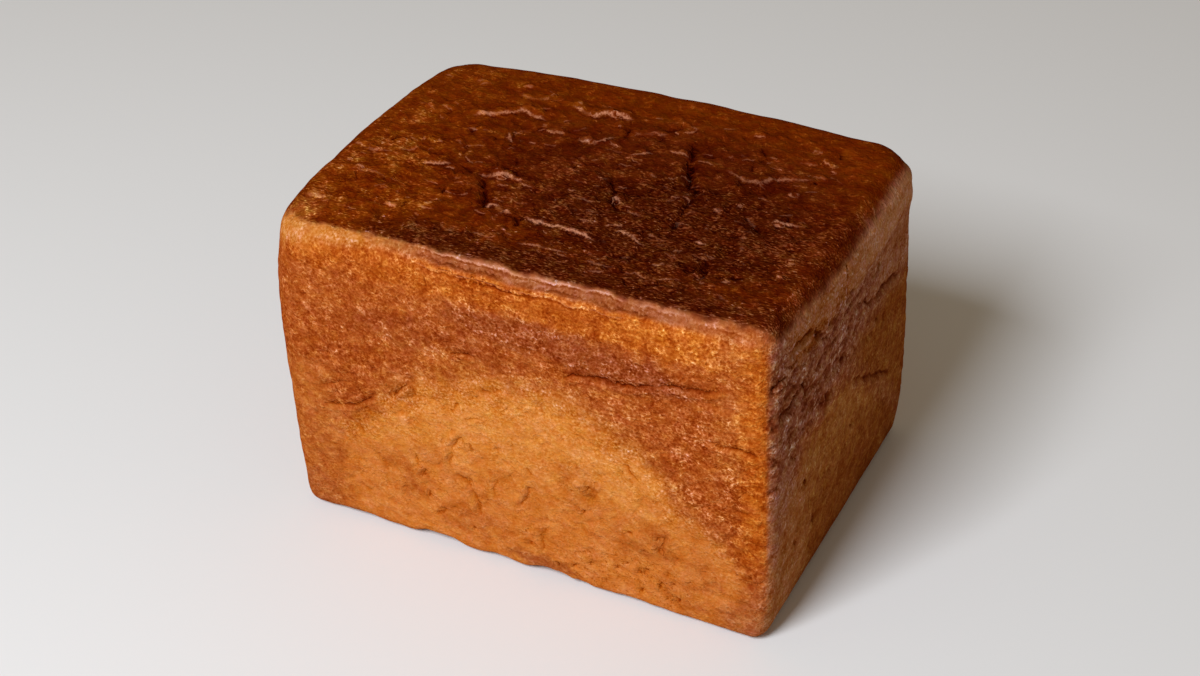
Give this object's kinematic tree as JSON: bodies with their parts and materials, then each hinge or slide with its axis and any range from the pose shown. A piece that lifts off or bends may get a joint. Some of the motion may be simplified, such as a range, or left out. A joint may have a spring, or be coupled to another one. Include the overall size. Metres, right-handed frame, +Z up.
{
  "type": "brioche loaf",
  "caption": "Square-shouldered brioche loaf baked in a lidded tin, with a level dark top, wrinkled golden-brown walls and a flat base.",
  "frame": {"origin": "centre of the flat base, at table level", "axes": "+X along the loaf's length, -Y out of the long wall that shows, +Z up"},
  "size_m": [0.1774, 0.1256, 0.1165],
  "materials": {
    "crust": "egg-washed bread crust: satin, dark mahogany on top, golden brown on the walls, paler low on each wall"
  },
  "bodies": {
    "root": {"brioche_loaf": "crust"}
  },
  "joints": []
}
